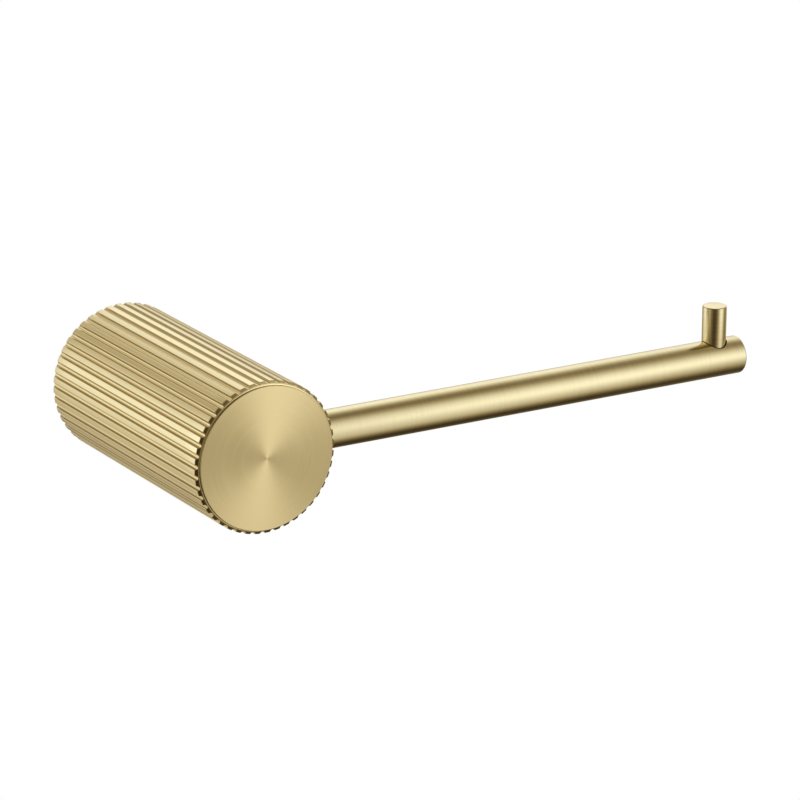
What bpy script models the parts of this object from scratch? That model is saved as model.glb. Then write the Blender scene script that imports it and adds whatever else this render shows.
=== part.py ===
"""Single-arm toilet roll holder: a fluted wall post, a round side bar and an upright stop pin.

Units are metres and +Z is up. The wall is the plane y = 0, and the holder stands out of it towards -Y.
The post's axis is the Y axis, the roll bar points along +X, and the origin is the middle of the wall
bracket's back face. "Reach" below is the distance out of the wall, which is -y.
"""
from math import acos, cos, pi, radians, sin

import bmesh
import bpy
from mathutils import Matrix

# ---- driving dimensions ------------------------------------------------------------------------
GAP = 0.0003                  # clearance that touching pieces keep
CUT = 0.001                   # how far a cutter runs past the face it opens

SLEEVE_RADIUS = 0.0225        # over the crowns of the ribs
SLEEVE_LENGTH = 0.0874
SLEEVE_BORE = 0.0190
SLEEVE_END_FALL = 0.0010      # how far the bevel at either end of the ribs drops
FRONT_BEVEL = 0.0006          # length of the bevel at the front
BACK_BEVEL = 0.0010           # and at the wall
FLUTES = 44
FIRST_GROOVE = radians(6)     # turn of the first groove from the bar's direction
GROOVE_RADIUS = 0.0008        # radius of the round groove between two ribs
GROOVE_DEPTH = 0.00085
GROOVE_STEPS = 6

CAP_RADIUS = 0.0213
CAP_PROUD = 0.0007            # front face ahead of the sleeve's end
CAP_CHAMFER = 0.0001
CAP_FACE = 0.0022             # metal left between the cap's front and its threaded hole
SPIGOT_LENGTH = 0.0050

HUB_LENGTH = 0.0180
BAR_REACH = 0.0739            # the bar's axis, out of the wall
BAR_RADIUS = 0.00565
BAR_END = 0.1698              # the bar's tip, along +X from the post's axis
BAR_CHAMFER = 0.0005
BAR_SEAT = 0.0120             # bottom of the hub's socket for the bar, along +X

PIN_RADIUS = 0.00365
PIN_X = 0.1614
PIN_TOP = 0.0165              # above the bar's axis
PIN_FOOT = 0.0028             # bottom of the full-width part, above the bar's axis
PIN_CHAMFER = 0.0003
PIN_SHANK_RADIUS = 0.0025
PIN_SHANK_LENGTH = 0.0065

BAR_STUD_RADIUS = 0.0040      # M8
BAR_STUD_START = 0.0053
BAR_STUD_END = 0.0240
BAR_STUD_SOCKET_FLATS = 0.0040
BAR_STUD_SOCKET_DEPTH = 0.0030
BAR_WASHER_RADIUS = 0.0055
BAR_WASHER_THICKNESS = 0.0008
CAP_STUD_RADIUS = 0.0030      # M6
CAP_STUD_LENGTH = 0.0300
CAP_WASHER_RADIUS = 0.0060
CAP_WASHER_THICKNESS = 0.0010
NUT_FLATS = 0.0100
NUT_HEIGHT = 0.0050
NUT_CHAMFER = 0.0006
TURNED_EDGE = 0.0005          # chamfer on the hub and on both studs
SET_SCREW_RADIUS = 0.0025     # M5
SET_SCREW_LENGTH = 0.0060
SET_SCREW_X = 0.0092
GRUB_LENGTH = 0.0040
GRUB_REACH = 0.0090
SET_SCREW_SOCKET_FLATS = 0.0025
SET_SCREW_SOCKET_DEPTH = 0.0018
SET_SCREW_TIP = 0.0008        # chamfer at the end that bites
SET_SCREW_EDGE = 0.0003

BRACKET_HEIGHT = 0.0140
BRACKET_FLOOR = 0.0040
BRACKET_WALL = 0.0035
BRACKET_EDGE = 0.0006
BRACKET_GROOVE = 0.0011       # depth of the ring groove that the grub screw seats in
BRACKET_GROOVE_HALF = 0.0034  # half its width at the mouth
SCREW_X = 0.0085              # wall screws, either side of the post's axis
SCREW_RADIUS = 0.0020
SCREW_HEAD_RADIUS = 0.0038
SCREW_HEAD_HEIGHT = 0.0026
SCREW_DOME = 0.0014           # height of the head's rounded part
SCREW_POINT = 0.0040          # length of the tapered tip
RECESS_SIZE = (0.0044, 0.0009, 0.0030)
WALL_WASHER_RADIUS = 0.0045
WALL_WASHER_THICKNESS = 0.0008
SCREW_TIP = 0.0190            # how far the screws go into the wall
SLOT_TRAVEL = 0.0022          # length of a bracket slot beyond its round ends

BORE_RADIUS_IN_SLEEVE = SLEEVE_BORE - GAP
TAU = 2 * pi


# ---- scene, collections and materials ------------------------------------------------------------
def clear_scene():
    for obj in list(bpy.data.objects):
        bpy.data.objects.remove(obj, do_unlink=True)


def new_collection(name):
    collection = bpy.data.collections.new(name)
    bpy.context.scene.collection.children.link(collection)
    return collection


def material(name, colour, roughness, metallic):
    made = bpy.data.materials.new(name)
    made.use_nodes = True
    made.diffuse_color = (*colour, 1.0)
    shader = made.node_tree.nodes["Principled BSDF"]
    shader.inputs["Base Color"].default_value = (*colour, 1.0)
    shader.inputs["Roughness"].default_value = roughness
    shader.inputs["Metallic"].default_value = metallic
    return made


clear_scene()
PARTS = new_collection("toilet_roll_holder")
CUTTERS = new_collection("cutters")

SATIN_GOLD = material("satin_gold", (0.64, 0.50, 0.27), 0.32, 1.0)
TURNED_GOLD = material("turned_gold", (0.67, 0.53, 0.29), 0.28, 1.0)
BRASS = material("machined_brass", (0.70, 0.52, 0.24), 0.40, 1.0)
STEEL = material("stainless_steel", (0.60, 0.59, 0.57), 0.30, 1.0)
BLACK_STEEL = material("black_oxide_steel", (0.06, 0.06, 0.065), 0.45, 1.0)
ZINC = material("cast_zinc", (0.52, 0.53, 0.54), 0.50, 1.0)

# Turned pieces are made about local Z. These turns lay local Z along the bar or out of the wall.
ALONG_BAR = Matrix.Translation((0, -BAR_REACH, 0)) @ Matrix.Rotation(pi / 2, 4, "Y")
OUT_OF_WALL = Matrix.Rotation(pi / 2, 4, "X")
UPRIGHT = Matrix.Translation((0, -BAR_REACH, 0))


def shifted(frame, x=0.0, y=0.0, z=0.0):
    """The same frame with its origin moved in world space."""
    return Matrix.Translation((x, y, z)) @ frame


# ---- shapes ----------------------------------------------------------------------------------------
def add_object(name, data, collection, frame, look=None):
    obj = bpy.data.objects.new(name, data)
    collection.objects.link(obj)
    obj.matrix_world = frame
    if look:
        data.materials.append(look)
    return obj


def evaluated_mesh(obj):
    bpy.context.view_layer.update()
    graph = bpy.context.evaluated_depsgraph_get()
    return bpy.data.meshes.new_from_object(obj.evaluated_get(graph))


def turned(name, profile, steps, frame, look, closed=False):
    """A profile of (radius, height) points, from the top down its outer side, turned about local Z."""
    points = [(radius, 0.0, height) for radius, height in profile]
    edges = [(i, i + 1) for i in range(len(points) - 1)]
    if closed:
        edges.append((len(points) - 1, 0))
    mesh = bpy.data.meshes.new(name)
    mesh.from_pydata(points, edges, [])
    obj = add_object(name, mesh, PARTS if look else CUTTERS, frame, look)
    screw = obj.modifiers.new("turn", "SCREW")
    screw.axis = "Z"
    screw.steps = steps
    screw.render_steps = steps
    screw.use_merge_vertices = True
    screw.merge_threshold = 0.00001
    if not look:
        hide_cutter(obj)
    return obj


def rod_profile(radius, bottom, top, bottom_chamfer=0.0, top_chamfer=0.0):
    """Outline of a plain round bar about local Z, with a chamfer at either end."""
    outline = [(0.0, top)]
    if top_chamfer:
        outline.append((radius - top_chamfer, top))
    outline.append((radius, top - top_chamfer))
    outline.append((radius, bottom + bottom_chamfer))
    if bottom_chamfer:
        outline.append((radius - bottom_chamfer, bottom))
    outline.append((0.0, bottom))
    return outline


def ring_profile(inner, outer, bottom, top):
    return [(outer, top), (outer, bottom), (inner, bottom), (inner, top)]


def hide_cutter(obj):
    obj.hide_render = True
    obj.display_type = "WIRE"


def prism_cutter(name, radius, bottom, top, sides, frame, spin=0.0):
    """A round or many-sided cutter along the frame's local Z."""
    mesh = bpy.data.meshes.new(name)
    form = bmesh.new()
    middle = Matrix.Translation((0, 0, (bottom + top) / 2)) @ Matrix.Rotation(spin, 4, "Z")
    bmesh.ops.create_cone(form, cap_ends=True, segments=sides, radius1=radius, radius2=radius,
                          depth=top - bottom, matrix=middle)
    form.to_mesh(mesh)
    form.free()
    cutter = add_object(name, mesh, CUTTERS, frame)
    hide_cutter(cutter)
    return cutter


def box_cutter(name, size, centre, frame):
    mesh = bpy.data.meshes.new(name)
    form = bmesh.new()
    bmesh.ops.create_cube(form, size=1.0, matrix=Matrix.Translation(centre) @ Matrix.Diagonal((*size, 1)))
    form.to_mesh(mesh)
    form.free()
    cutter = add_object(name, mesh, CUTTERS, frame)
    hide_cutter(cutter)
    return cutter


def cut(obj, cutter, operation="DIFFERENCE"):
    boolean = obj.modifiers.new(cutter.name, "BOOLEAN")
    boolean.operation = operation
    boolean.solver = "EXACT"
    boolean.object = cutter


def circle_points(radius, count):
    return [(radius * cos(TAU * i / count), radius * sin(TAU * i / count)) for i in range(count)]


def add_closed_spline(curve, points):
    spline = curve.splines.new("POLY")
    spline.points.add(len(points) - 1)
    for point, (x, y) in zip(spline.points, points):
        point.co = (x, y, 0.0, 1.0)
    spline.use_cyclic_u = True


def extruded(name, outlines, bottom, top, frame, look):
    """A flat outline, with holes where further outlines lie inside it, pulled along local Z."""
    curve = bpy.data.curves.new(name, "CURVE")
    curve.dimensions = "2D"
    curve.fill_mode = "BOTH"
    curve.extrude = (top - bottom) / 2
    for outline in outlines:
        add_closed_spline(curve, outline)
    lift = Matrix.Translation((0, 0, (bottom + top) / 2))
    flat = add_object(name + "_outline", curve, PARTS, frame @ lift)
    mesh = evaluated_mesh(flat)
    form = bmesh.new()
    form.from_mesh(mesh)
    bmesh.ops.remove_doubles(form, verts=form.verts, dist=0.000001)
    form.to_mesh(mesh)
    form.free()
    mesh.name = name
    obj = add_object(name, mesh, PARTS, flat.matrix_world.copy(), look)
    bpy.data.objects.remove(flat, do_unlink=True)
    return obj


# ---- the post --------------------------------------------------------------------------------------
def flute_outline():
    """The sleeve's outside: round grooves between ribs about as wide as they are."""
    centre = SLEEVE_RADIUS - GROOVE_DEPTH + GROOVE_RADIUS
    to_mouth = (SLEEVE_RADIUS ** 2 - centre ** 2 - GROOVE_RADIUS ** 2) / (2 * centre * GROOVE_RADIUS)
    sweep = pi - acos(to_mouth)          # from the groove's bottom to its mouth, at the groove's centre
    points = []
    for flute in range(FLUTES):
        middle = FIRST_GROOVE + TAU * flute / FLUTES
        for step in range(GROOVE_STEPS + 1):
            turn = middle + pi + sweep * (1 - 2 * step / GROOVE_STEPS)
            x = centre * cos(middle) + GROOVE_RADIUS * cos(turn)
            y = centre * sin(middle) + GROOVE_RADIUS * sin(turn)
            points.append((x, y))
        crown = middle + TAU / FLUTES / 2
        points.append((SLEEVE_RADIUS * cos(crown), SLEEVE_RADIUS * sin(crown)))
    return points


def make_sleeve():
    outlines = [flute_outline(), circle_points(SLEEVE_BORE, 88)]
    sleeve = extruded("fluted_sleeve", outlines, 0.0, SLEEVE_LENGTH, OUT_OF_WALL, SATIN_GOLD)

    low, high, wide = -CUT, SLEEVE_LENGTH + CUT, SLEEVE_RADIUS + SLEEVE_END_FALL
    front_end = SLEEVE_RADIUS - SLEEVE_END_FALL * (1 + CUT / FRONT_BEVEL)
    back_end = SLEEVE_RADIUS - SLEEVE_END_FALL * (1 + CUT / BACK_BEVEL)
    envelope = [(0, high), (front_end, high), (wide, SLEEVE_LENGTH - 2 * FRONT_BEVEL), (wide, 2 * BACK_BEVEL),
                (back_end, low), (0, low)]
    cut(sleeve, turned("sleeve_envelope", envelope, 88, OUT_OF_WALL, None), "INTERSECT")

    bar_hole = prism_cutter("sleeve_bar_hole", BAR_RADIUS + GAP, SLEEVE_BORE / 2, SLEEVE_RADIUS + CUT, 40,
                            ALONG_BAR)
    cut(sleeve, bar_hole)
    grub_hole = prism_cutter("sleeve_grub_hole", SET_SCREW_RADIUS + GAP, -SLEEVE_RADIUS - CUT,
                             -SLEEVE_BORE / 2, 24, shifted(Matrix.Identity(4), y=-GRUB_REACH))
    cut(sleeve, grub_hole)


def make_front_cap():
    front = SLEEVE_LENGTH + CAP_PROUD
    flange_back = SLEEVE_LENGTH + GAP
    spigot_back = SLEEVE_LENGTH - SPIGOT_LENGTH
    hole_top = front - CAP_FACE
    hole = CAP_STUD_RADIUS + GAP
    profile = [
        (0.0, front),
        (CAP_RADIUS - CAP_CHAMFER, front),
        (CAP_RADIUS, front - CAP_CHAMFER),
        (CAP_RADIUS, flange_back),
        (BORE_RADIUS_IN_SLEEVE, flange_back),
        (BORE_RADIUS_IN_SLEEVE, spigot_back),
        (hole, spigot_back),
        (hole, hole_top),
        (0.0, hole_top),
    ]
    turned("front_cap", profile, 88, OUT_OF_WALL, TURNED_GOLD)


# ---- inside the post's front end: the hub and what it clamps ----------------------------------------
HUB_TOP = SLEEVE_LENGTH - SPIGOT_LENGTH - GAP
HUB_BOTTOM = HUB_TOP - HUB_LENGTH
CAP_WASHER_TOP = HUB_BOTTOM - GAP
NUT_TOP = CAP_WASHER_TOP - CAP_WASHER_THICKNESS - GAP
CAP_STUD_TOP = SLEEVE_LENGTH + CAP_PROUD - CAP_FACE - GAP


def make_hub():
    body = rod_profile(BORE_RADIUS_IN_SLEEVE, HUB_BOTTOM, HUB_TOP, TURNED_EDGE, TURNED_EDGE)
    hub = turned("bar_hub", body, 64, OUT_OF_WALL, BRASS)
    cut(hub, prism_cutter("hub_bar_socket", BAR_RADIUS + GAP, BAR_SEAT, SLEEVE_RADIUS, 40, ALONG_BAR))
    cut(hub, prism_cutter("hub_stud_hole", BAR_STUD_RADIUS + GAP, BAR_STUD_START - GAP, BAR_SEAT + CUT, 32,
                          ALONG_BAR))
    cut(hub, prism_cutter("hub_cap_stud_hole", CAP_STUD_RADIUS + GAP, HUB_BOTTOM - CUT, HUB_TOP + CUT, 24,
                          OUT_OF_WALL))
    cut(hub, prism_cutter("hub_set_screw_hole", SET_SCREW_RADIUS + GAP, HUB_BOTTOM - CUT, BAR_REACH, 24,
                          shifted(OUT_OF_WALL, x=SET_SCREW_X)))


def make_cap_fixings():
    stud_bottom = CAP_STUD_TOP - CAP_STUD_LENGTH
    stud = rod_profile(CAP_STUD_RADIUS, stud_bottom, CAP_STUD_TOP, TURNED_EDGE, TURNED_EDGE)
    turned("cap_stud", stud, 24, OUT_OF_WALL, STEEL)

    hole = CAP_STUD_RADIUS + GAP
    washer = ring_profile(hole, CAP_WASHER_RADIUS, CAP_WASHER_TOP - CAP_WASHER_THICKNESS, CAP_WASHER_TOP)
    turned("cap_washer", washer, 32, OUT_OF_WALL, STEEL, closed=True)

    corner = NUT_FLATS / 2 / cos(pi / 6)
    outlines = [circle_points(corner, 6), circle_points(hole, 24)]
    bottom = NUT_TOP - NUT_HEIGHT
    nut = extruded("cap_nut", outlines, bottom, NUT_TOP, OUT_OF_WALL, STEEL)
    low, high, narrow = bottom - CUT, NUT_TOP + CUT, corner - NUT_CHAMFER - CUT
    envelope = [(0, high), (narrow, high), (corner, NUT_TOP - NUT_CHAMFER), (corner, bottom + NUT_CHAMFER),
                (narrow, low), (0, low)]
    cut(nut, turned("nut_envelope", envelope, 36, OUT_OF_WALL, None), "INTERSECT")


def set_screw(name, length, frame):
    """A headless screw along local Z with a chamfered tip at the top and a hex socket at the bottom."""
    outline = rod_profile(SET_SCREW_RADIUS, 0.0, length, SET_SCREW_EDGE, SET_SCREW_TIP)
    screw = turned(name, outline, 24, frame, BLACK_STEEL)
    corner = SET_SCREW_SOCKET_FLATS / 2 / cos(pi / 6)
    cut(screw, prism_cutter(name + "_socket", corner, -CUT, SET_SCREW_SOCKET_DEPTH, 6, frame))


def make_set_screws():
    tip_reach = BAR_REACH - BAR_STUD_RADIUS - GAP
    set_screw("bar_lock_screw", SET_SCREW_LENGTH,
              shifted(OUT_OF_WALL, x=SET_SCREW_X, y=-(tip_reach - SET_SCREW_LENGTH)))
    groove_floor = BORE_RADIUS_IN_SLEEVE - BRACKET_GROOVE
    set_screw("sleeve_grub_screw", GRUB_LENGTH,
              Matrix.Translation((0, -GRUB_REACH, -(groove_floor + GAP + GRUB_LENGTH))))


# ---- the bar, its stud and its stop pin ---------------------------------------------------------------
BAR_START = BAR_SEAT + GAP + BAR_WASHER_THICKNESS + GAP


def make_bar():
    bar = turned("roll_bar", rod_profile(BAR_RADIUS, BAR_START, BAR_END, BAR_CHAMFER, BAR_CHAMFER), 48,
                 ALONG_BAR, SATIN_GOLD)
    cut(bar, prism_cutter("bar_stud_hole", BAR_STUD_RADIUS + GAP, BAR_START - CUT, BAR_STUD_END + GAP, 32,
                          ALONG_BAR))
    at_pin = shifted(UPRIGHT, x=PIN_X)
    cut(bar, prism_cutter("bar_pin_seat", PIN_RADIUS + GAP, PIN_FOOT - GAP, BAR_RADIUS + CUT, 40, at_pin))
    cut(bar, prism_cutter("bar_pin_thread", PIN_SHANK_RADIUS + GAP, PIN_FOOT - PIN_SHANK_LENGTH - GAP,
                          PIN_FOOT + CUT, 24, at_pin))


def make_stop_pin():
    shank_end = PIN_FOOT - PIN_SHANK_LENGTH
    profile = [
        (0.0, PIN_TOP),
        (PIN_RADIUS - PIN_CHAMFER, PIN_TOP),
        (PIN_RADIUS, PIN_TOP - PIN_CHAMFER),
        (PIN_RADIUS, PIN_FOOT),
        (PIN_SHANK_RADIUS, PIN_FOOT),
        (PIN_SHANK_RADIUS, shank_end + PIN_CHAMFER),
        (PIN_SHANK_RADIUS - PIN_CHAMFER, shank_end),
        (0.0, shank_end),
    ]
    turned("stop_pin", profile, 40, shifted(UPRIGHT, x=PIN_X), SATIN_GOLD)


def make_bar_fixings():
    outline = rod_profile(BAR_STUD_RADIUS, BAR_STUD_START, BAR_STUD_END, TURNED_EDGE, TURNED_EDGE)
    stud = turned("bar_stud", outline, 32, ALONG_BAR, STEEL)
    corner = BAR_STUD_SOCKET_FLATS / 2 / cos(pi / 6)
    cut(stud, prism_cutter("bar_stud_socket", corner, BAR_STUD_START - CUT,
                           BAR_STUD_START + BAR_STUD_SOCKET_DEPTH, 6, ALONG_BAR))
    washer = ring_profile(BAR_STUD_RADIUS + GAP, BAR_WASHER_RADIUS, BAR_SEAT + GAP, BAR_START - GAP)
    turned("bar_lock_washer", washer, 32, ALONG_BAR, STEEL, closed=True)


# ---- the wall end ---------------------------------------------------------------------------------
WASHER_BOTTOM = BRACKET_FLOOR + GAP
WASHER_TOP = WASHER_BOTTOM + WALL_WASHER_THICKNESS
HEAD_BOTTOM = WASHER_TOP + GAP


def make_bracket():
    """A turned cup: its floor lies on the wall; its rim carries the sleeve and the grub screw's groove."""
    outer = BORE_RADIUS_IN_SLEEVE
    inner = outer - BRACKET_WALL
    groove_front = GRUB_REACH + BRACKET_GROOVE_HALF
    groove_back = GRUB_REACH - BRACKET_GROOVE_HALF
    profile = [
        (0.0, BRACKET_FLOOR),
        (inner, BRACKET_FLOOR),
        (inner, BRACKET_HEIGHT),
        (outer - BRACKET_EDGE, BRACKET_HEIGHT),
        (outer, BRACKET_HEIGHT - BRACKET_EDGE),
        (outer, groove_front),
        (outer - BRACKET_GROOVE, groove_front - BRACKET_GROOVE),
        (outer - BRACKET_GROOVE, groove_back + BRACKET_GROOVE),
        (outer, groove_back),
        (outer, 0.0),
        (0.0, 0.0),
    ]
    bracket = turned("wall_bracket", profile, 64, OUT_OF_WALL, ZINC)
    for side in (-1, 1):
        name = "bracket_slot_left" if side < 0 else "bracket_slot_right"
        for end in (-1, 1):
            at_end = shifted(OUT_OF_WALL, x=side * SCREW_X + end * SLOT_TRAVEL / 2)
            cut(bracket, prism_cutter(f"{name}_end{end + 2}", SCREW_RADIUS + GAP, -CUT, BRACKET_FLOOR + CUT,
                                      24, at_end))
        size = (SLOT_TRAVEL, 2 * (SCREW_RADIUS + GAP), BRACKET_FLOOR + 2 * CUT)
        cut(bracket, box_cutter(name, size, (side * SCREW_X, 0, BRACKET_FLOOR / 2), OUT_OF_WALL))


def make_wall_screw(side, suffix):
    """A pan-head wood screw: domed head, cross recess, plain core and a pointed tip."""
    at_screw = shifted(OUT_OF_WALL, x=side * SCREW_X)
    head_top = HEAD_BOTTOM + SCREW_HEAD_HEIGHT
    dome = [(SCREW_HEAD_RADIUS * sin(turn), head_top - SCREW_DOME * (1 - cos(turn)))
            for turn in (radians(a) for a in (30, 50, 70, 90))]
    profile = [
        (0.0, head_top),
        *dome,
        (SCREW_HEAD_RADIUS, HEAD_BOTTOM),
        (SCREW_RADIUS, HEAD_BOTTOM),
        (SCREW_RADIUS, SCREW_POINT - SCREW_TIP),
        (0.0, -SCREW_TIP),
    ]
    screw = turned("wall_screw_" + suffix, profile, 24, at_screw, STEEL)
    for name, turn in (("across", 0.0), ("down", pi / 2)):
        recess = at_screw @ Matrix.Rotation(turn, 4, "Z")
        cut(screw, box_cutter(f"recess_{suffix}_{name}", RECESS_SIZE, (0, 0, head_top), recess))

    washer = ring_profile(SCREW_RADIUS + GAP, WALL_WASHER_RADIUS, WASHER_BOTTOM, WASHER_TOP)
    turned("wall_washer_" + suffix, washer, 32, at_screw, STEEL, closed=True)


# ---- build -----------------------------------------------------------------------------------------
def bake(obj):
    """Applies the piece's modifiers, and shades its round faces smooth with its edges sharp."""
    mesh = evaluated_mesh(obj)
    mesh.name = obj.name
    obj.modifiers.clear()
    obj.data = mesh
    mesh.shade_smooth()
    mesh.set_sharp_from_angle(angle=radians(25))


make_sleeve()
make_front_cap()
make_hub()
make_cap_fixings()
make_set_screws()
make_bar()
make_stop_pin()
make_bar_fixings()
make_bracket()
make_wall_screw(-1, "left")
make_wall_screw(1, "right")
for piece in PARTS.objects:
    bake(piece)
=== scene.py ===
"""Looks for the toilet roll holder: fine meshes, brushed-metal materials, studio and camera."""
from math import acos, atan2, cos, pi, radians, sin, tan

import bmesh
import bpy
from mathutils import Matrix, Vector


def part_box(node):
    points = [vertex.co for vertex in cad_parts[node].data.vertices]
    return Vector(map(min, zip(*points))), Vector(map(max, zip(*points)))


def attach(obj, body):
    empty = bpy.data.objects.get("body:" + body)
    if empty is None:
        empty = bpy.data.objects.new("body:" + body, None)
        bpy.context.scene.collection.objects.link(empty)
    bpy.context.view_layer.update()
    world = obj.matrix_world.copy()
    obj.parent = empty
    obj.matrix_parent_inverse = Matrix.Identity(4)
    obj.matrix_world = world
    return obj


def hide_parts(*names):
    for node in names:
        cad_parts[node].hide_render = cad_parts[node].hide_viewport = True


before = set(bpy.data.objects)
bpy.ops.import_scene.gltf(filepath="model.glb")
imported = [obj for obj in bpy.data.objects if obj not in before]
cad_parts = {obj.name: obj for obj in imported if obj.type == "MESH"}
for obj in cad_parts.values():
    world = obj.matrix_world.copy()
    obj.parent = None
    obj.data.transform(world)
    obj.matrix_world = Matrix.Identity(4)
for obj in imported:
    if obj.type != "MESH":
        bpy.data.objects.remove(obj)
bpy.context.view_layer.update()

MM = 0.001
TAU = 2 * pi
CLEARANCE = 0.3 * MM             # round whatever goes into a hole
OVERSHOOT = 1 * MM               # how far a cutter runs past the surface it opens
SHARP_EDGE = radians(32)


# ---- places, read from the frame -----------------------------------------------------------------
def low(node, axis):
    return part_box(node)[0][axis]


def high(node, axis):
    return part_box(node)[1][axis]


def middle(node):
    lowest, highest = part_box(node)
    return (Vector(lowest) + Vector(highest)) / 2


SLEEVE_R = high("fluted_sleeve", 0)
SLEEVE_FRONT = -low("fluted_sleeve", 1)          # reach out of the wall
CAP_R = high("front_cap", 0)
CAP_FRONT = -low("front_cap", 1)
SPIGOT_BACK = -high("front_cap", 1)
BAR_AXIS = Vector((0, middle("roll_bar").y, middle("roll_bar").z))
BAR_R = (high("roll_bar", 1) - low("roll_bar", 1)) / 2
BAR_START, BAR_END = low("roll_bar", 0), high("roll_bar", 0)
PIN_X = middle("stop_pin").x
PIN_R = (high("stop_pin", 0) - low("stop_pin", 0)) / 2
PIN_TOP, PIN_BOTTOM = high("stop_pin", 2), low("stop_pin", 2)
PIN_FOOT = PIN_BOTTOM + 6.5 * MM                 # where the thinner shank begins
SHANK_R = 2.5 * MM
BORE_R = high("bar_hub", 0) + CLEARANCE
GRUB_REACH = -middle("sleeve_grub_screw").y
GRUB_R = (high("sleeve_grub_screw", 0) - low("sleeve_grub_screw", 0)) / 2

OUT_OF_WALL = Matrix.Rotation(pi / 2, 4, "X")              # local Z comes out of the wall
ALONG_BAR = Matrix.Translation(BAR_AXIS) @ Matrix.Rotation(pi / 2, 4, "Y")
AT_PIN = Matrix.Translation(BAR_AXIS + Vector((PIN_X, 0, 0)))
AT_GRUB = Matrix.Translation((0, -GRUB_REACH, 0))


# ---- the fluted sleeve's own dimensions ----------------------------------------------------------
FLUTES = 44
FIRST_GROOVE = radians(6)
GROOVE_R = 0.80 * MM
GROOVE_DEPTH = 0.85 * MM
MOUTH_ROUND = 0.12 * MM
END_FALL = 1.0 * MM
FRONT_BEVEL, BACK_BEVEL = 0.6 * MM, 1.0 * MM
BEVEL_ROUND = 0.35 * MM
BORE_EDGE = 0.3 * MM


# ---- mesh tools ----------------------------------------------------------------------------------
def finish_mesh(name, form, place):
    """Turns a bmesh made in the place's own frame into a smooth-shaded object in world space."""
    bmesh.ops.remove_doubles(form, verts=form.verts, dist=1e-7)
    bmesh.ops.recalc_face_normals(form, faces=form.faces)
    mesh = bpy.data.meshes.new(name)
    form.to_mesh(mesh)
    form.free()
    mesh.transform(place)
    obj = bpy.data.objects.new(name, mesh)
    bpy.context.scene.collection.objects.link(obj)
    shade(obj)
    return obj


def shade(obj):
    obj.data.shade_smooth()
    obj.data.set_sharp_from_angle(angle=SHARP_EDGE)


def filleted(outline, radius, steps=4):
    """The outline with each corner between its ends given a small round."""
    points = [Vector(p) for p in outline]
    result = [points[0]]
    for before, corner, after in zip(points, points[1:], points[2:]):
        a, b = (before - corner), (after - corner)
        half = a.angle(b) / 2
        reach = radius / tan(half) if half > 1e-3 else 0
        limit = 0.45 * min(a.length, b.length)
        if reach < 1e-9 or abs(half - pi / 2) < 0.02:
            result.append(corner)
            continue
        size = radius * min(1.0, limit / reach)
        reach = size / tan(half)
        start, end = corner + a.normalized() * reach, corner + b.normalized() * reach
        centre = corner + (a.normalized() + b.normalized()).normalized() * (size / sin(half))
        u, v = start - centre, end - centre
        sweep = u.angle(v)
        for step in range(steps + 1):
            t = step / steps
            result.append(centre + (u * sin((1 - t) * sweep) + v * sin(t * sweep)) / sin(sweep))
    result.append(points[-1])
    return result


def threaded(profile, pitch):
    """The profile with its downward runs split finely enough to carry a thread."""
    dense = [profile[0]]
    for upper, lower in zip(profile, profile[1:]):
        parts = max(1, int((upper.y - lower.y) / (pitch / 10)))
        dense += [upper.lerp(lower, k / parts) for k in range(1, parts + 1)]
    return dense


def thread_cut(radius, height, angle, thread):
    """How far the thread's groove cuts in at a place on the shank."""
    top, bottom, crest, pitch, depth, share = thread
    fade = min(1.0, max(0.0, (top - height) / pitch)) * min(1.0, max(0.0, (height - bottom) / pitch))
    run = (height / pitch - angle / TAU) % 1
    ridge = max(0.0, 1 - abs(2 * run - 1) / share)
    return depth * fade * (1 - ridge) * min(1.0, radius / crest)


def lathe(name, outline, place, segments, fillet=0, steps=3, thread=None):
    """A (radius, height) outline, from the top down the outer side, turned about the place's Z axis.

    A thread is (top, bottom, crest radius, pitch, depth, share of the pitch that the ridge takes).
    """
    profile = filleted(outline, fillet, steps)
    if thread:
        profile = threaded(profile, thread[3])
    form = bmesh.new()
    rings = []
    for radius, height in profile:
        if radius < 1e-7:
            rings.append([form.verts.new((0, 0, height))])
            continue
        ring = []
        for i in range(segments):
            angle = TAU * i / segments
            reach = radius - (thread_cut(radius, height, angle, thread) if thread else 0)
            ring.append(form.verts.new((reach * cos(angle), reach * sin(angle), height)))
        rings.append(ring)
    for upper, lower in zip(rings, rings[1:]):
        for i in range(segments):
            j = (i + 1) % segments
            corners = [upper[i % len(upper)], lower[i % len(lower)], lower[j % len(lower)],
                       upper[j % len(upper)]]
            corners = list(dict.fromkeys(corners))           # a point ring gives the same corner twice
            if len(corners) > 2:
                form.faces.new(corners)
    return finish_mesh(name, form, place)


def cut(obj, *cutters):
    """Takes the cutters out of the object and throws them away."""
    for cutter in cutters:
        boolean = obj.modifiers.new("cut", "BOOLEAN")
        boolean.operation = "DIFFERENCE"
        boolean.solver = "EXACT"
        boolean.object = cutter
    graph = bpy.context.evaluated_depsgraph_get()
    mesh = bpy.data.meshes.new_from_object(obj.evaluated_get(graph))
    obj.modifiers.clear()
    obj.data = mesh
    for cutter in cutters:
        bpy.data.objects.remove(cutter, do_unlink=True)
    shade(obj)


def plug(radius, bottom, top, place, segments=96):
    """A round cutter along the place's Z axis."""
    return lathe("cutter", [(0, top), (radius, top), (radius, bottom), (0, bottom)], place, segments)


def prism(points, bottom, top, place):
    """A cutter with a flat outline, along the place's Z axis."""
    form = bmesh.new()
    lower = [form.verts.new((x, y, bottom)) for x, y in points]
    upper = [form.verts.new((x, y, top)) for x, y in points]
    form.faces.new(lower[::-1])
    form.faces.new(upper)
    for i in range(len(points)):
        j = (i + 1) % len(points)
        form.faces.new((lower[i], lower[j], upper[j], upper[i]))
    return finish_mesh("cutter", form, place)


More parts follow.
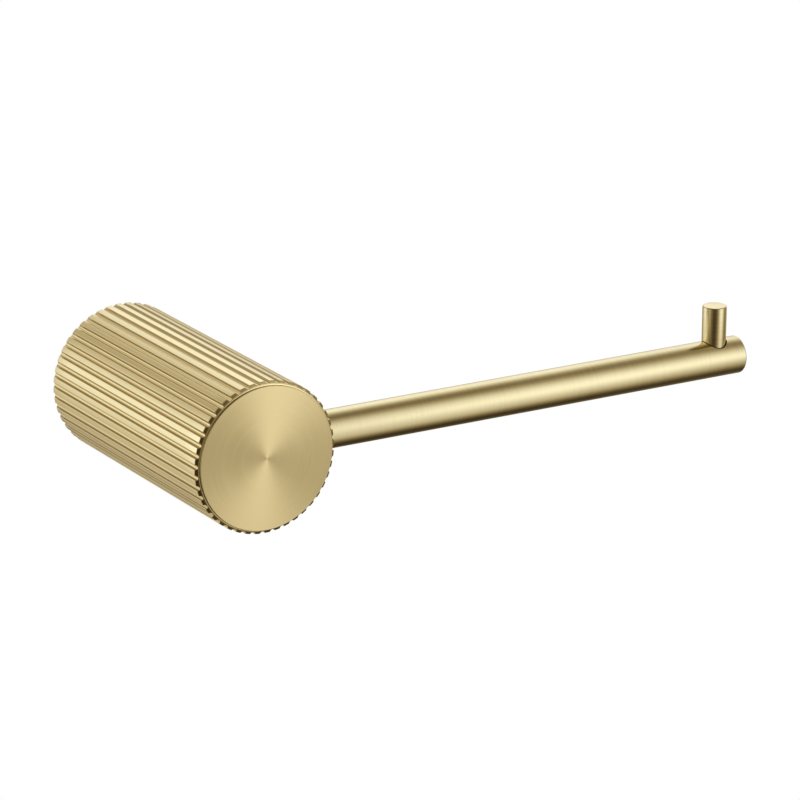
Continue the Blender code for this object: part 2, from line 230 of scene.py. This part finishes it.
def round_slot(half_length, radius, steps=24):
    """Outline of a slot with round ends, its length along X."""
    turns = [-pi / 2 + pi * k / steps for k in range(steps + 1)]
    right = [(half_length + radius * cos(a), radius * sin(a)) for a in turns]
    return right + [(-x, -y) for x, y in right]


def rectangle(width, depth):
    x, y = width / 2, depth / 2
    return [(-x, -y), (x, -y), (x, y), (-x, y)]


def hexagon(flats):
    corner = flats / 2 / cos(pi / 6)
    return [(corner * cos(TAU * k / 6), corner * sin(TAU * k / 6)) for k in range(6)]


# ---- materials -----------------------------------------------------------------------------------
class Nodes:
    """A short way to write a node tree."""

    def __init__(self, tree):
        self.tree = tree

    def add(self, kind, **settings):
        node = self.tree.nodes.new(kind)
        inputs = settings.pop("inputs", {})
        for key, value in settings.items():
            setattr(node, key, value)
        for key, value in inputs.items():
            if isinstance(value, bpy.types.NodeSocket):
                self.tree.links.new(value, node.inputs[key])
            else:
                node.inputs[key].default_value = value
        return node

    def math(self, operation, *values):
        node = self.add("ShaderNodeMath", operation=operation, inputs=dict(enumerate(values)))
        return node.outputs[0]

    def vector(self, operation, *values):
        node = self.add("ShaderNodeVectorMath", operation=operation, inputs=dict(enumerate(values)))
        return node.outputs[0]

    def combine(self, *values):
        node = self.add("ShaderNodeCombineXYZ", inputs=dict(enumerate(values)))
        return node.outputs[0]

    def map_range(self, value, from_low, from_high, to_low=0.0, to_high=1.0):
        limits = (from_low, from_high, to_low, to_high)
        node = self.add("ShaderNodeMapRange", inputs=dict(enumerate((value, *limits))))
        return node.outputs[0]

    def ramp(self, factor, *stops):
        node = self.add("ShaderNodeValToRGB", inputs={0: factor})
        elements = node.color_ramp.elements
        elements[0].position, elements[0].color = stops[0][0], (*stops[0][1], 1)
        elements[1].position, elements[1].color = stops[-1][0], (*stops[-1][1], 1)
        for place, colour in stops[1:-1]:
            elements.new(place).color = (*colour, 1)
        return node.outputs["Color"]

    def noise(self, vector, scale, detail, roughness):
        node = self.add("ShaderNodeTexNoise", inputs={"Vector": vector, "Scale": scale, "Detail": detail,
                                                      "Roughness": roughness})
        return node.outputs[0]


# Noise scales of the fine lines: for the two directions across the axis, then along it (outwards on a disc).
GRAINS = {
    "along": (2600.0, 45.0),     # long scratches parallel to the axis
    "round": (60.0, 3200.0),     # scratches round the axis
    "disc": (50.0, 4200.0),      # turning marks on a face across the axis
}
QUARTER_TURN = 0.25              # the gloss of scratches that run round the axis
TONE_LOW, TONE_HIGH = 0.3, 0.7   # the part of the noise's range that is used


def metal(name, colour, roughness, grain, axis="Y", anisotropy=0.0, streak=0.06, bump=0.04, spread=0.05,
          metallic=1.0, painted_shade=None):
    """A brushed or turned metal, with its grain set out round one of the object's axes.

    streak and spread are how far the colour and the roughness vary. painted_shade is (inner radius, outer
    radius, tints from the one to the other): painted shade that darkens grooves and rims, where less light
    reaches.
    """
    made = bpy.data.materials.new(name)
    made.use_nodes = True
    n = Nodes(made.node_tree)
    shader = made.node_tree.nodes["Principled BSDF"]
    place = n.add("ShaderNodeTexCoord").outputs["Object"]
    parts = n.add("ShaderNodeSeparateXYZ", inputs={0: place})
    index = "XYZ".index(axis)
    along = parts.outputs[index]
    across = [parts.outputs[i] for i in range(3) if i != index]
    radius = n.math("SQRT", n.math("ADD", n.math("MULTIPLY", across[0], across[0]),
                                   n.math("MULTIPLY", across[1], across[1])))
    across_scale, last_scale = GRAINS[grain]
    last = radius if grain == "disc" else along
    lines = n.combine(n.math("MULTIPLY", across[0], across_scale),
                      n.math("MULTIPLY", across[1], across_scale),
                      n.math("MULTIPLY", last, last_scale))
    fine = n.noise(lines, 1.0, 4.0, 0.6)
    cloud = n.noise(place, 55.0, 3.0, 0.5)
    darker = tuple(c * (1 - streak) for c in colour)
    lighter = tuple(min(1.0, c * (1 + streak)) for c in colour)
    tone = n.math("ADD", n.math("MULTIPLY", fine, 0.75), n.math("MULTIPLY", cloud, 0.25))
    base = n.ramp(tone, (TONE_LOW, darker), (0.5, colour), (TONE_HIGH, lighter))
    # painted shade: the base colour is darkened by radius in grooves and on rims, standing in for the shade
    # that falls there
    if painted_shade:
        inner, outer, tints = painted_shade
        base = n.vector("MULTIPLY", base, n.ramp(n.map_range(radius, inner, outer), *tints))
    made.node_tree.links.new(base, shader.inputs["Base Color"])
    rough = n.map_range(tone, TONE_LOW, TONE_HIGH, roughness - spread, roughness + spread)
    made.node_tree.links.new(rough, shader.inputs["Roughness"])
    relief = n.add("ShaderNodeBump", inputs={"Strength": bump, "Distance": 0.02 * MM, "Height": fine})
    made.node_tree.links.new(relief.outputs[0], shader.inputs["Normal"])
    shader.inputs["Metallic"].default_value = metallic
    if anisotropy:
        tangent = n.add("ShaderNodeTangent", direction_type="RADIAL", axis=axis)
        made.node_tree.links.new(tangent.outputs[0], shader.inputs["Tangent"])
        shader.inputs["Anisotropic"].default_value = anisotropy
        shader.inputs["Anisotropic Rotation"].default_value = QUARTER_TURN
    return made


GOLD = (0.86, 0.75, 0.45)
# Painted shade: the sleeve's groove walls are darkened by radius where shade falls; the white stops leave the
# colour as it is
UNSHADED = (1.0, 1.0, 1.0)
GROOVE_SIDE_SHADE = (0.54, 0.48, 0.37)
GROOVE_SHADE_TINTS = ((0.0, (1.0, 0.97, 0.90)), (0.10, (0.90, 0.86, 0.76)), (0.25, GROOVE_SIDE_SHADE),
                (0.75, GROOVE_SIDE_SHADE), (0.90, UNSHADED), (1.0, UNSHADED))
# Painted shade: the side wall of the cap's rim is darkened where shade falls beside the sleeve's end
RIM_SHADE_TINTS = ((0.0, UNSHADED), (0.5, (0.60, 0.55, 0.45)), (1.0, (0.32, 0.28, 0.20)))
# the sleeve's gold carries painted shade on its groove walls
SLEEVE_GOLD = metal("brushed_gold_along", GOLD, 0.16, "along", "Y", anisotropy=0.75,
                    painted_shade=(SLEEVE_R - GROOVE_DEPTH, SLEEVE_R, GROOVE_SHADE_TINTS))
# the cap's gold carries painted shade on its rim's side wall
CAP_GOLD = metal("turned_gold_face", (0.87, 0.725, 0.39), 0.36, "disc", "Y", anisotropy=0.95, streak=0.05,
                 painted_shade=(CAP_R - 0.06 * MM, CAP_R - 0.01 * MM, RIM_SHADE_TINTS))
BAR_GOLD = metal("brushed_gold_bar", (0.78, 0.69, 0.42), 0.17, "round", "X", anisotropy=0.7, streak=0.10,
                 spread=0.07)
PIN_GOLD = metal("brushed_gold_pin", GOLD, 0.20, "round", "Z", anisotropy=0.7, streak=0.09, spread=0.06)
BRASS = metal("machined_brass_hub", (0.78, 0.56, 0.24), 0.34, "round", "Y", bump=0.1)
STEEL = metal("stainless_fixings", (0.58, 0.57, 0.55), 0.28, "round", "Y", bump=0.1)
ZINC = metal("cast_zinc_bracket", (0.55, 0.56, 0.58), 0.45, "disc", "Y", bump=0.15)
PLATED = metal("zinc_plated_screws", (0.66, 0.67, 0.68), 0.25, "round", "Y", bump=0.1)
BLACK = metal("black_oxide_screws", (0.035, 0.035, 0.04), 0.42, "round", "Y", bump=0.1, metallic=0.6)


def finished(piece, node, look):
    """Gives the piece its look and hands it to the frame in its CAD node's stead."""
    piece.data.materials.clear()
    piece.data.materials.append(look)
    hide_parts(node)
    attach(piece, "root")


# ---- the fluted sleeve ---------------------------------------------------------------------------
def flute_outline():
    """Points of one flute, from groove bottom to groove bottom, as (angle, radius) about the post's axis."""
    centre = SLEEVE_R - GROOVE_DEPTH + GROOVE_R
    to_mouth = (SLEEVE_R ** 2 - centre ** 2 - GROOVE_R ** 2) / (2 * centre * GROOVE_R)
    sweep = pi - acos(to_mouth)
    pitch = TAU / FLUTES
    wall_steps, crown_steps, round_steps = 12, 4, 4
    wall = []
    for step in range(wall_steps + 1):
        turn = pi - sweep * step / wall_steps
        wall.append(Vector((centre + GROOVE_R * cos(turn), GROOVE_R * sin(turn))))
    corner = wall[-1]
    mouth = atan2(corner.y, corner.x)
    crown = [Vector((SLEEVE_R * cos(a), SLEEVE_R * sin(a)))
             for a in (mouth + (pitch / 2 - mouth) * k / crown_steps for k in range(1, crown_steps + 1))]
    # a small round, from start to end, takes the place of the wall's last two points
    start = corner + (wall[-3] - corner).normalized() * MOUTH_ROUND
    end = corner + (crown[0] - corner).normalized() * MOUTH_ROUND
    half = wall[:-2]
    for k in range(round_steps + 1):
        t = k / round_steps
        half.append(start * (1 - t) ** 2 + corner * 2 * t * (1 - t) + end * t ** 2)
    half += crown
    points = [(atan2(p.y, p.x), p.length) for p in half]
    return points + [(pitch - a, r) for a, r in points[-2:0:-1]]


def sleeve_limits():
    """Radius and height along the post of the shape that the ribs' ends are turned down to, back to front."""
    end_r = SLEEVE_R - END_FALL
    ends = filleted([(end_r, 0), (SLEEVE_R, BACK_BEVEL), (SLEEVE_R, SLEEVE_FRONT - FRONT_BEVEL),
                     (end_r, SLEEVE_FRONT)], BEVEL_ROUND)
    limits = [ends[0]]
    for lower, upper in zip(ends, ends[1:]):
        is_bevel = abs(lower.x - upper.x) > 0.3 * MM
        is_length = upper.y - lower.y > 10 * MM
        parts = 12 if is_bevel or is_length else 1
        limits += [lower.lerp(upper, k / parts) for k in range(1, parts + 1)]
    return limits


def make_sleeve():
    flute = flute_outline()
    outline = [(FIRST_GROOVE + TAU * k / FLUTES + a, r) for k in range(FLUTES) for a, r in flute]
    form = bmesh.new()
    rings = []
    for limit, height in sleeve_limits():
        rings.append([form.verts.new((min(r, limit) * cos(a), min(r, limit) * sin(a), height))
                      for a, r in outline])
    bore = [(BORE_R + BORE_EDGE, SLEEVE_FRONT), (BORE_R, SLEEVE_FRONT - BORE_EDGE), (BORE_R, BORE_EDGE),
            (BORE_R + BORE_EDGE, 0)]
    for radius, height in bore:
        rings.append([form.verts.new((radius * cos(a), radius * sin(a), height)) for a, _ in outline])
    count = len(outline)
    for one, other in zip(rings, rings[1:] + rings[:1]):
        for i in range(count):
            j = (i + 1) % count
            form.faces.new((one[i], one[j], other[j], other[i]))
    sleeve = finish_mesh("sleeve_fluted", form, OUT_OF_WALL)
    inside = BORE_R * 0.6        # where both cutters end, in the open bore
    bar_hole = plug(BAR_R + CLEARANCE, inside, SLEEVE_R + OVERSHOOT, ALONG_BAR)
    grub_hole = plug(GRUB_R + CLEARANCE, -SLEEVE_R - OVERSHOOT, -inside, AT_GRUB, 64)
    cut(sleeve, bar_hole, grub_hole)
    finished(sleeve, "fluted_sleeve", SLEEVE_GOLD)


def make_cap():
    edge = 0.2 * MM
    flange_back = SLEEVE_FRONT + 0.03 * MM
    spigot_r = BORE_R - CLEARANCE
    hole, hole_top = 3.3 * MM, CAP_FRONT - 2.2 * MM          # for the stud
    outline = [(0, CAP_FRONT), (CAP_R - edge, CAP_FRONT), (CAP_R, CAP_FRONT - edge), (CAP_R, flange_back),
               (spigot_r, flange_back), (spigot_r, SPIGOT_BACK), (hole, SPIGOT_BACK), (hole, hole_top),
               (0, hole_top)]
    cap = lathe("cap_front", outline, OUT_OF_WALL, 256, fillet=0.08 * MM)
    finished(cap, "front_cap", CAP_GOLD)


# ---- bar and pin ---------------------------------------------------------------------------------
def make_bar():
    outline = [(0, BAR_END), (BAR_R, BAR_END), (BAR_R, BAR_START), (0, BAR_START)]
    bar = lathe("bar_round", outline, ALONG_BAR, 160, fillet=0.45 * MM, steps=6)
    stud_r, stud_end = 4 * MM, high("bar_stud", 0)
    stud_hole = plug(stud_r + CLEARANCE, BAR_START - OVERSHOOT, stud_end + CLEARANCE, ALONG_BAR, 64)
    seat = plug(PIN_R + CLEARANCE, PIN_FOOT - CLEARANCE, BAR_R + OVERSHOOT, AT_PIN, 96)
    shank_hole = plug(SHANK_R + CLEARANCE, PIN_BOTTOM - CLEARANCE, PIN_FOOT + OVERSHOOT, AT_PIN, 64)
    cut(bar, stud_hole, seat, shank_hole)
    finished(bar, "roll_bar", BAR_GOLD)


def make_pin():
    edge, end = 0.25 * MM, 0.4 * MM
    outline = [(0, PIN_TOP), (PIN_R - edge, PIN_TOP), (PIN_R, PIN_TOP - edge), (PIN_R, PIN_FOOT),
               (SHANK_R, PIN_FOOT), (SHANK_R, PIN_BOTTOM + end), (SHANK_R - end, PIN_BOTTOM), (0, PIN_BOTTOM)]
    pin = lathe("pin_stop", outline, AT_PIN, 128, fillet=0.08 * MM)
    finished(pin, "stop_pin", PIN_GOLD)


# ---- wall end ------------------------------------------------------------------------------------
SCREW_R = 2.0 * MM
SLOT_HALF = 1.1 * MM
BRACKET_FLOOR = -high("wall_washer_left", 1) - CLEARANCE


def make_bracket():
    """A turned cup, with a sloping-sided groove round it that the grub screw presses into."""
    outer, reach = high("wall_bracket", 0), -low("wall_bracket", 1)
    inner, edge = outer - 3.5 * MM, 0.3 * MM
    depth, half = 1.1 * MM, 3.4 * MM                         # of the groove, and half its width
    outline = [(0, BRACKET_FLOOR), (inner, BRACKET_FLOOR), (inner, reach), (outer - edge, reach),
               (outer, reach - edge), (outer, GRUB_REACH + half), (outer - depth, GRUB_REACH + half - depth),
               (outer - depth, GRUB_REACH - half + depth), (outer, GRUB_REACH - half), (outer, 0), (0, 0)]
    bracket = lathe("bracket_cast", outline, OUT_OF_WALL, 192, fillet=0.3 * MM, steps=4)
    slots = [prism(round_slot(SLOT_HALF, SCREW_R + CLEARANCE), -OVERSHOOT, BRACKET_FLOOR + OVERSHOOT,
                   Matrix.Translation((middle("wall_screw_" + side).x, 0, 0)) @ OUT_OF_WALL)
             for side in ("left", "right")]
    cut(bracket, *slots)
    finished(bracket, "wall_bracket", ZINC)


def make_wall_screw(side):
    """A pan-head wood screw with a cross recess and a coarse thread that runs out to its point."""
    node = "wall_screw_" + side
    head_top, tip = -low(node, 1), -high(node, 1)
    head_r = (high(node, 0) - low(node, 0)) / 2
    head_bottom, dome_height = head_top - 2.6 * MM, 1.4 * MM
    plain_shank, point = 2.5 * MM, 4 * MM
    dome = [(head_r * sin(radians(a)), head_top - dome_height * (1 - cos(radians(a))))
            for a in range(10, 100, 10)]
    outline = [(0, head_top), *dome, (head_r, head_bottom), (SCREW_R, head_bottom), (SCREW_R, tip + point),
               (0, tip)]
    pitch, groove, ridge_share = 1.8 * MM, 0.65 * MM, 0.55
    past_tip = tip - 2 * MM      # so that the thread doesn't fade at the point
    thread = (head_bottom - plain_shank, past_tip, SCREW_R, pitch, groove, ridge_share)
    place = Matrix.Translation((middle(node).x, 0, 0)) @ OUT_OF_WALL
    screw = lathe("screw_" + side, outline, place, 64, fillet=0.06 * MM, thread=thread)
    length, width, depth = 4.4 * MM, 0.9 * MM, 1.5 * MM
    blades = [prism(rectangle(*size), head_top - depth, head_top + OVERSHOOT, place)
              for size in ((length, width), (width, length))]
    cut(screw, *blades)
    finished(screw, node, PLATED)


def make_grub_screw():
    """A set screw with a hexagon socket in its outer end, pointing up out of the post's underside."""
    bottom, top = low("sleeve_grub_screw", 2), high("sleeve_grub_screw", 2)
    point, edge = 0.8 * MM, 0.3 * MM
    flats, socket = 2.5 * MM, 1.8 * MM
    outline = [(0, top), (GRUB_R - point, top), (GRUB_R, top - point), (GRUB_R, bottom + edge),
               (GRUB_R - edge, bottom), (0, bottom)]
    pitch, groove, ridge_share = 0.8 * MM, 0.4 * MM, 1.0
    thread = (top, bottom, GRUB_R, pitch, groove, ridge_share)
    screw = lathe("screw_grub", outline, AT_GRUB, 64, fillet=0.05 * MM, thread=thread)
    cut(screw, prism(hexagon(flats), bottom - OVERSHOOT, bottom + socket, AT_GRUB))
    finished(screw, "sleeve_grub_screw", BLACK)


make_sleeve()
make_cap()
make_bar()
make_pin()
make_bracket()
make_wall_screw("left")
make_wall_screw("right")
make_grub_screw()

# The pieces inside keep their CAD meshes.
CARRIED = {"bar_hub": BRASS, "cap_stud": STEEL, "cap_washer": STEEL, "cap_nut": STEEL, "bar_stud": STEEL,
           "bar_lock_washer": STEEL, "bar_lock_screw": BLACK, "wall_washer_left": PLATED,
           "wall_washer_right": PLATED}
for node, look in CARRIED.items():
    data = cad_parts[node].data
    data.materials.clear()
    data.materials.append(look)


# ---- studio --------------------------------------------------------------------------------------
BASE_LIGHT = 0.01                # from every direction
SOFT_LIGHTS = [
    # azimuth from +X towards +Y and elevation in degrees, tightness, strength
    ((-55, 4), 10.0, 1.10),      # key, a tall box front right
    ((-57, 36), 10.0, 0.54),     # its upper end
    ((-62, -34), 9.0, 0.62),     # its lower end
    ((-22, 8), 9.0, 0.12),       # right
    ((58, 44), 9.0, 0.95),       # back right, high
    ((66, 18), 16.0, 0.40),
    ((88, 34), 14.0, 0.22),      # behind, high
    ((37, 0), 8.0, 0.60),        # back right, level
    ((20, 0), 6.0, 0.15),
    ((163, 4), 5.0, 0.95),       # left
    ((131, 6), 9.0, 0.80),       # back left
    ((107, -38), 8.0, 0.50),     # low, behind
    ((-112, 44), 4.2, 0.11),     # overhead, front
    ((-18, 32), 5.6, 0.15),      # overhead, right
]


def make_world():
    """Plain white to the camera, and for reflections a sum of round soft lights that are warmer where dim."""
    world = bpy.data.worlds.new("studio")
    bpy.context.scene.world = world
    world.use_nodes = True
    n = Nodes(world.node_tree)
    out = world.node_tree.nodes["World Output"]
    direction = n.add("ShaderNodeTexCoord").outputs["Generated"]
    light = BASE_LIGHT
    for (azimuth, elevation), tightness, strength in SOFT_LIGHTS:
        azimuth, elevation = radians(azimuth), radians(elevation)
        towards = (cos(elevation) * cos(azimuth), cos(elevation) * sin(azimuth), sin(elevation))
        facing = n.add("ShaderNodeVectorMath", operation="DOT_PRODUCT", inputs={0: direction, 1: towards})
        off = n.math("SUBTRACT", facing.outputs["Value"], 1.0)
        fall = n.math("EXPONENT", n.math("MULTIPLY", off, tightness))
        light = n.math("ADD", light, n.math("MULTIPLY", fall, strength))
    warmth = n.ramp(light, (0.0, (1, 0.77, 0.43)), (0.15, (1, 0.80, 0.49)), (0.3, (1, 0.84, 0.58)),
                    (0.6, (1, 0.91, 0.74)), (1.0, (1, 1, 1)))
    tint = n.add("ShaderNodeVectorMath", operation="SCALE", inputs={0: warmth, "Scale": light})
    studio = n.add("ShaderNodeBackground", inputs={0: tint.outputs[0], 1: 1.0})
    plain = n.add("ShaderNodeBackground", inputs={0: (1, 1, 1, 1), 1: 1.0})
    seen = n.add("ShaderNodeLightPath").outputs["Is Camera Ray"]
    mix = n.add("ShaderNodeMixShader", inputs={0: seen, 1: studio.outputs[0], 2: plain.outputs[0]})
    world.node_tree.links.new(mix.outputs[0], out.inputs[0])


def make_camera():
    """A long lens, up and to the left of the wall's normal, aimed beside the origin."""
    azimuth, elevation, roll = radians(-31.19), radians(18.17), radians(0.38)
    distance, lens = 1.3815, 210.68
    aim_right, aim_up = 0.0827, -0.0068
    back = Vector((sin(azimuth) * cos(elevation), -cos(azimuth) * cos(elevation), sin(elevation)))
    right = Vector((cos(azimuth), sin(azimuth), 0))
    up = back.cross(right)
    camera = bpy.data.cameras.new("camera")
    camera.lens = lens
    camera.sensor_width = 36
    camera.clip_start, camera.clip_end = 0.01, 50
    obj = bpy.data.objects.new("camera", camera)
    obj.location = back * distance + right * aim_right + up * aim_up
    turn = Matrix((right, up, back)).transposed() @ Matrix.Rotation(roll, 3, "Z")
    obj.rotation_euler = turn.to_euler()
    bpy.context.scene.collection.objects.link(obj)
    bpy.context.scene.camera = obj


def make_floor():
    """A plain pale floor well below the holder, seen only by the camera and not reflected in the metal."""
    half_side, drop = 8.0, 0.65
    form = bmesh.new()
    bmesh.ops.create_grid(form, x_segments=1, y_segments=1, size=half_side)
    mesh = bpy.data.meshes.new("floor")
    form.to_mesh(mesh)
    form.free()
    floor = bpy.data.objects.new("floor", mesh)
    floor.location.z = -drop
    bpy.context.scene.collection.objects.link(floor)
    look = bpy.data.materials.new("pale_floor")
    look.use_nodes = True
    n = Nodes(look.node_tree)
    look.node_tree.nodes.remove(look.node_tree.nodes["Principled BSDF"])
    white = n.add("ShaderNodeEmission", inputs={0: (1, 1, 1, 1), 1: 1.0})
    matt = n.add("ShaderNodeBsdfDiffuse", inputs={0: (0.35, 0.34, 0.32, 1)})
    seen = n.add("ShaderNodeLightPath").outputs["Is Camera Ray"]
    mix = n.add("ShaderNodeMixShader", inputs={0: seen, 1: matt.outputs[0], 2: white.outputs[0]})
    look.node_tree.links.new(mix.outputs[0], look.node_tree.nodes["Material Output"].inputs[0])
    mesh.materials.append(look)
    for kind in ("diffuse", "glossy", "transmission", "shadow"):
        setattr(floor, "visible_" + kind, False)


make_world()
make_floor()
make_camera()
bpy.context.scene.view_settings.view_transform = "Standard"
